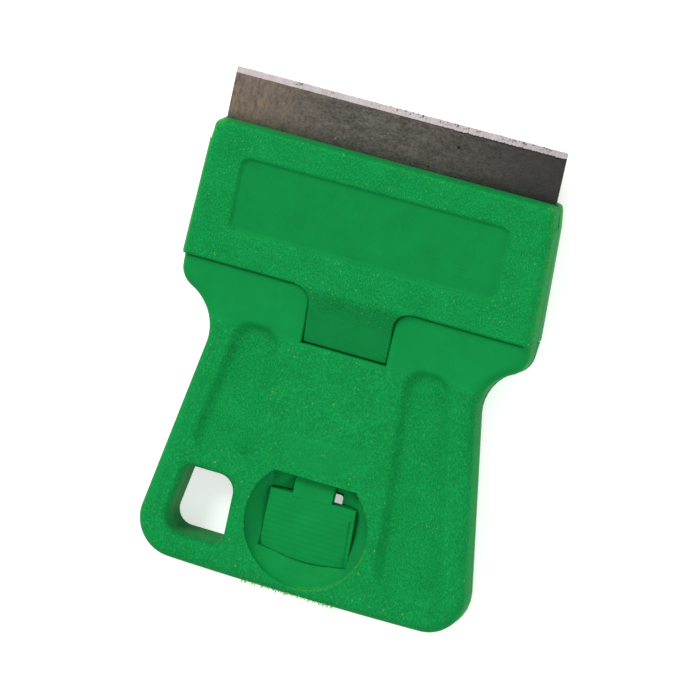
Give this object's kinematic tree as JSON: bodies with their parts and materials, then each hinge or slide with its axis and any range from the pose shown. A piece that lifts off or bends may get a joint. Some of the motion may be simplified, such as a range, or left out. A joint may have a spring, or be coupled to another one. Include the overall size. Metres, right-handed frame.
{
  "type": "pocket blade scraper",
  "caption": "Pocket cleaning scraper: a waisted moulded handle holds a single-edge blade, which a sliding T-shaped guard covers. A press tab releases the guard.",
  "frame": {"origin": "middle of the base, on the plane of the flat back", "axes": "+X to the right of someone who looks at the front face with the blade up, +Y towards the cutting edge, +Z out of the front face"},
  "size_m": [0.0418, 0.0576, 0.0063],
  "materials": {
    "handle_plastic": "spark-textured green moulded plastic with smooth shoulders",
    "guard_plastic": "grained green moulded plastic with a smooth sunken panel",
    "inner_plastic": "satin green moulded plastic",
    "blade_steel": "cold-rolled carbon steel, oiled, with light spots and a bright ground edge",
    "spine_steel": "rolled steel strip"
  },
  "bodies": {
    "handle": {"handle_front_shell": "handle_plastic", "handle_back_shell": "handle_plastic", "blade_carrier": "inner_plastic", "blade": "blade_steel", "blade_spine": "spine_steel"},
    "guard": {"guard_front_shell": "guard_plastic", "guard_back_shell": "guard_plastic"},
    "press_tab": {"press_tab": "inner_plastic"}
  },
  "joints": [
    {"name": "guard_slide", "type": "slide", "parent": "handle", "child": "guard", "axis": [0, 1, 0], "range_m": [0, 0.0064]},
    {"name": "press_tab_hinge", "type": "hinge", "parent": "handle", "child": "press_tab", "pos_m": [0, -0.01355, 0.0034], "axis": [1, 0, 0], "range_deg": [0, 6], "stiffness_Nm_per_rad": 0.02}
  ]
}
